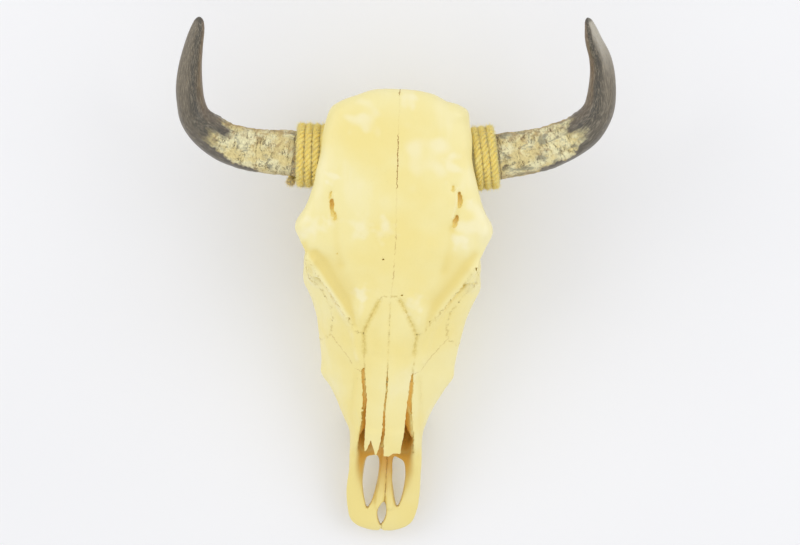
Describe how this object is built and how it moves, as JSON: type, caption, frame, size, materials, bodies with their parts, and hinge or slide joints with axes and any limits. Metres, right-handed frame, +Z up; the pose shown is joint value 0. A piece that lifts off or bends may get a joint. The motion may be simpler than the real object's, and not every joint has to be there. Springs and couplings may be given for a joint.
{
  "type": "cow skull",
  "caption": "Life-size horned cow skull without its lower jaw, lying on its cheek teeth, with each horn bound at its base with twisted rope.",
  "frame": {"origin": "on the floor the skull lies on, below the middle of the whole object with its horns", "axes": "+Z up through the forehead, -Y towards the nose, +Y towards the poll, +X towards the animal's left side, which is the right side of the picture"},
  "size_m": [0.4855, 0.5939, 0.2098],
  "materials": {
    "bone": "smooth dry bone, cream yellow, satin",
    "horn": "grey-brown horn, pale and cracked at the base, satin",
    "rope": "golden twisted natural fibre, matt and fuzzy"
  },
  "bodies": {
    "root": {"cranium": "bone", "upper_jaw_right": "bone", "upper_jaw_left": "bone", "premaxilla_right": "bone", "premaxilla_left": "bone", "cheekbone_right": "bone", "cheekbone_left": "bone", "nasal_right": "bone", "nasal_left": "bone", "horn_right": "horn", "horn_left": "horn", "rope_right": "rope", "rope_left": "rope"}
  },
  "joints": []
}
